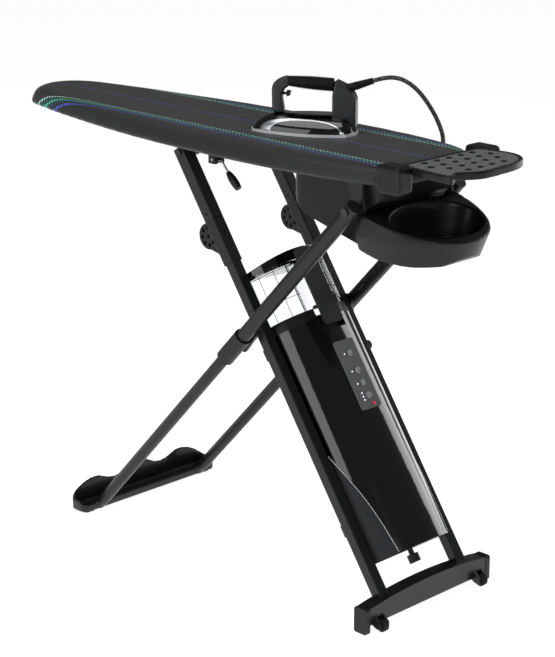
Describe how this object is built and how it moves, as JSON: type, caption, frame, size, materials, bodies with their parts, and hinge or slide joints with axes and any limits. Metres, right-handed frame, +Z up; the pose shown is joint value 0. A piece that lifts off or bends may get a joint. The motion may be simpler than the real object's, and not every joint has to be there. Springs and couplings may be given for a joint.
{
  "type": "steam ironing system",
  "caption": "Padded ironing board on a folding scissor frame with a steam generator and lift-off water tank between the legs, and a steam iron on a braided hose.",
  "frame": {"origin": "on the floor, under the middle of the object seen from above", "axes": "+X to the iron tray at the board's rear, -X to the board's round nose, +Y to the hose side, +Z up"},
  "size_m": [1.4165, 0.426, 1.1044],
  "materials": {
    "deck_metal": "satin",
    "board_cover": "woven cotton",
    "black_plastic": "fine grain",
    "tray_mat": "speckled felt",
    "black_rubber": "matt",
    "housing_plastic": "fine grain",
    "motor_metal": "satin",
    "frame_paint": "powder coat",
    "arm_paint": "powder coat",
    "pin_steel": "brushed",
    "foot_plastic": "satin",
    "gloss_black": "polished",
    "casing_grey": "matt",
    "panel_silver": "metallic fine grain",
    "button_pale": "satin",
    "circuit_green": "matt",
    "boiler_metal": "cast",
    "knob_grey": "satin",
    "tank_clear": "clear",
    "handle_grey": "satin",
    "sole_metal": "polished",
    "grip_rubber": "ribbed",
    "hose_braid": "braided"
  },
  "bodies": {
    "board": {"board_deck": "deck_metal", "board_pad": "board_cover", "rear_clamps": "black_plastic", "iron_tray": "black_plastic", "tray_mat": "tray_mat", "tray_studs": "black_rubber", "blower_housing": "housing_plastic", "storage_tub": "black_plastic", "fan_motor": "motor_metal", "slide_rails": "deck_metal", "hinge_brackets": "frame_paint", "hinge_pins": "pin_steel", "lever_bracket": "black_plastic", "hose_hook": "black_plastic", "hose_gland": "black_rubber", "hose_coil": "hose_braid"},
    "fan": {"fan_impeller": "black_plastic"},
    "lever": {"lever_rod": "pin_steel", "lever_grip": "black_plastic"},
    "outer_legs": {"outer_leg_near": "frame_paint", "outer_leg_far": "frame_paint", "pivot_collars": "black_plastic", "pivot_bolts": "pin_steel", "front_foot": "foot_plastic", "front_foot_pads": "black_rubber"},
    "inner_legs": {"inner_leg_near": "frame_paint", "inner_leg_far": "frame_paint", "upper_arms": "arm_paint", "arm_sleeves": "black_plastic", "slider_bar": "pin_steel", "cross_bars": "frame_paint", "rear_foot": "foot_plastic", "rear_foot_caps": "black_plastic", "generator_cover": "gloss_black", "generator_casing": "casing_grey", "control_panel": "panel_silver", "control_board": "circuit_green", "boiler": "boiler_metal", "pump": "motor_metal", "mains_inlet": "black_plastic", "tank_dock": "black_plastic", "hose_clip": "black_plastic"},
    "wheel_near": {"wheel_near": "black_rubber"},
    "wheel_far": {"wheel_far": "black_rubber"},
    "tank": {"tank_shell": "tank_clear", "tank_lid": "gloss_black", "tank_handle": "handle_grey", "filter_cartridge": "black_plastic"},
    "power_button": {"power_button": "button_pale"},
    "fan_button": {"fan_button": "button_pale"},
    "eco_button": {"eco_button": "button_pale"},
    "steam_button": {"steam_button": "button_pale"},
    "drain_knob": {"drain_knob": "knob_grey"},
    "iron": {"soleplate": "sole_metal", "iron_body": "gloss_black", "handle_frame": "handle_grey", "handle_grip": "grip_rubber", "hose_boot": "black_rubber", "hose_tube": "hose_braid"},
    "steam_trigger": {"steam_trigger": "button_pale"}
  },
  "joints": [
    {"name": "frame_fold", "type": "hinge", "parent": "board", "child": "outer_legs", "pos_m": [0.4626, 0, 0.8828], "axis": [0, 1, 0], "range_deg": [0, 35.3]},
    {"name": "frame_cross", "type": "hinge", "parent": "outer_legs", "child": "inner_legs", "pos_m": [0.1705, 0, 0.572], "axis": [0, 1, 0], "range_deg": [-74, 0]},
    {"name": "height_lever", "type": "hinge", "parent": "board", "child": "lever", "pos_m": [0.0625, -0.152, 0.925], "axis": [0, 1, 0], "range_deg": [-20, 0], "stiffness_Nm_per_rad": 3, "springref_deg": 11.46},
    {"name": "fan_spin", "type": "hinge", "parent": "board", "child": "fan", "pos_m": [0.3945, 0, 0.9], "axis": [0, 0, 1], "continuous": true},
    {"name": "wheel_near_spin", "type": "hinge", "parent": "inner_legs", "child": "wheel_near", "pos_m": [0.5685, -0.16, 0.0145], "axis": [0, 1, 0], "continuous": true},
    {"name": "wheel_far_spin", "type": "hinge", "parent": "inner_legs", "child": "wheel_far", "pos_m": [0.5685, 0.16, 0.0145], "axis": [0, 1, 0], "continuous": true},
    {"name": "tank_lift_off", "type": "slide", "parent": "inner_legs", "child": "tank", "axis": [-0.5724, 0, 0.82], "range_m": [0, 0.045]},
    {"name": "power_press", "type": "slide", "parent": "inner_legs", "child": "power_button", "axis": [-0.82, 0, -0.5724], "range_m": [0, 0.0012], "stiffness_N_per_m": 600, "springref_m": -0.001},
    {"name": "fan_press", "type": "slide", "parent": "inner_legs", "child": "fan_button", "axis": [-0.82, 0, -0.5724], "range_m": [0, 0.0012], "stiffness_N_per_m": 600, "springref_m": -0.001},
    {"name": "eco_press", "type": "slide", "parent": "inner_legs", "child": "eco_button", "axis": [-0.82, 0, -0.5724], "range_m": [0, 0.0012], "stiffness_N_per_m": 600, "springref_m": -0.001},
    {"name": "steam_press", "type": "slide", "parent": "inner_legs", "child": "steam_button", "axis": [-0.82, 0, -0.5724], "range_m": [0, 0.0012], "stiffness_N_per_m": 600, "springref_m": -0.001},
    {"name": "drain_turn", "type": "hinge", "parent": "inner_legs", "child": "drain_knob", "pos_m": [0.50692, 0, 0.10378], "axis": [-0.5724, 0, 0.82], "range_deg": [0, 90]},
    {"name": "iron_lift", "type": "slide", "parent": "board", "child": "iron", "axis": [0, 0, 1], "range_m": [0, 0.1]},
    {"name": "trigger_press", "type": "slide", "parent": "iron", "child": "steam_trigger", "axis": [-0.809, -0.5878, 0], "range_m": [0, 0.003], "stiffness_N_per_m": 400, "springref_m": -0.002}
  ],
  "couplings": [
    {"joint": "frame_cross", "follows": "frame_fold", "ratio": -2.0935}
  ]
}
